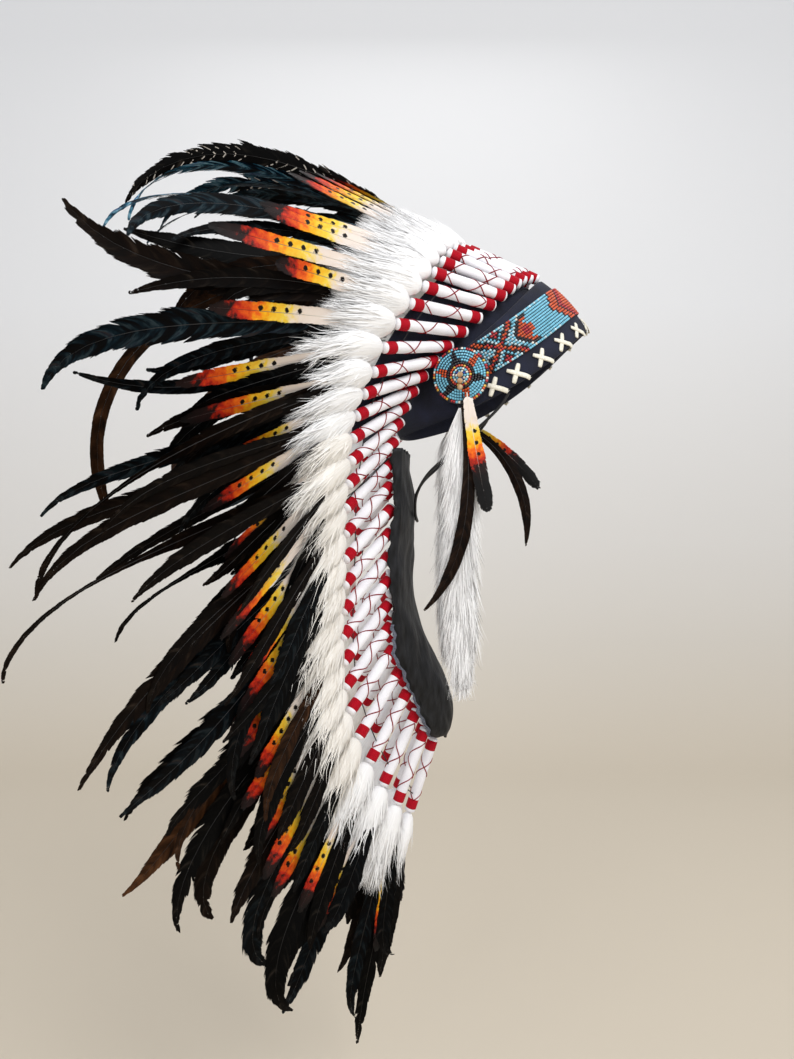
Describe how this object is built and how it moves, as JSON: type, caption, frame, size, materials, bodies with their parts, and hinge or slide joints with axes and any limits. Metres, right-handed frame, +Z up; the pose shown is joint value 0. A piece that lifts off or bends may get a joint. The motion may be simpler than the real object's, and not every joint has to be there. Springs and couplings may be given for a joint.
{
  "type": "feathered headdress with a trailer",
  "caption": "Feathered headdress: felt cap and beaded headband, a fan and trailer of wrapped quills with fur tufts and long feathers, rosettes and fur side drops.",
  "frame": {"origin": "centre of the head opening, level with the brow and nape hems' middle, where the cap sits on a head", "axes": "+Z up, -Y toward the brow and face, +Y toward the trailer behind, +X the wearer's left"},
  "size_m": [0.7425, 0.5221, 1.0009],
  "materials": {
    "navy_felt": "matt navy-black felt",
    "seed_beads": "opaque glossy seed beads, woven in rows",
    "bead_wood": "smooth turned wood",
    "panel_leather": "wrinkled dark leather cloth, dull",
    "cord_black": "tight black cord",
    "sleeve_felt": "white felt wrap bound with red thread",
    "white_fur": "long white fur with dark tips",
    "painted_feather": "dyed feather vane, yellow to red to black",
    "black_feather": "glossy black-brown feather vane with white fur at its root"
  },
  "bodies": {
    "root": {"cap": "navy_felt", "headband": "navy_felt", "beaded_strip": "seed_beads", "fan_flange": "navy_felt", "trailer_panel": "panel_leather", "neck_cord": "cord_black", "rosette_right": "seed_beads", "wood_bead_right_1": "bead_wood", "wood_bead_right_2": "bead_wood", "wood_bead_right_3": "bead_wood", "fur_drop_right": "white_fur", "drop_black_feather_right": "black_feather", "drop_painted_feather_right": "painted_feather", "rosette_left": "seed_beads", "wood_bead_left_1": "bead_wood", "wood_bead_left_2": "bead_wood", "wood_bead_left_3": "bead_wood", "fur_drop_left": "white_fur", "drop_black_feather_left": "black_feather", "drop_painted_feather_left": "painted_feather", "quills_brow": "sleeve_felt", "quills_right_1": "sleeve_felt", "quills_right_2": "sleeve_felt", "quills_right_3": "sleeve_felt", "quills_right_4": "sleeve_felt", "quills_right_5": "sleeve_felt", "quills_right_6": "sleeve_felt", "quills_right_7": "sleeve_felt", "quills_tail": "sleeve_felt", "quills_left_7": "sleeve_felt", "quills_left_6": "sleeve_felt", "quills_left_5": "sleeve_felt", "quills_left_4": "sleeve_felt", "quills_left_3": "sleeve_felt", "quills_left_2": "sleeve_felt", "quills_left_1": "sleeve_felt", "plumes_brow": "black_feather", "plumes_right_1": "black_feather", "plumes_right_2": "black_feather", "plumes_right_3": "black_feather", "plumes_right_4": "black_feather", "plumes_right_5": "black_feather", "plumes_right_6": "black_feather", "plumes_right_7": "black_feather", "plumes_right_8": "black_feather", "plumes_right_9": "black_feather", "plumes_tail": "black_feather", "plumes_left_9": "black_feather", "plumes_left_8": "black_feather", "plumes_left_7": "black_feather", "plumes_left_6": "black_feather", "plumes_left_5": "black_feather", "plumes_left_4": "black_feather", "plumes_left_3": "black_feather", "plumes_left_2": "black_feather", "plumes_left_1": "black_feather"}
  },
  "joints": []
}
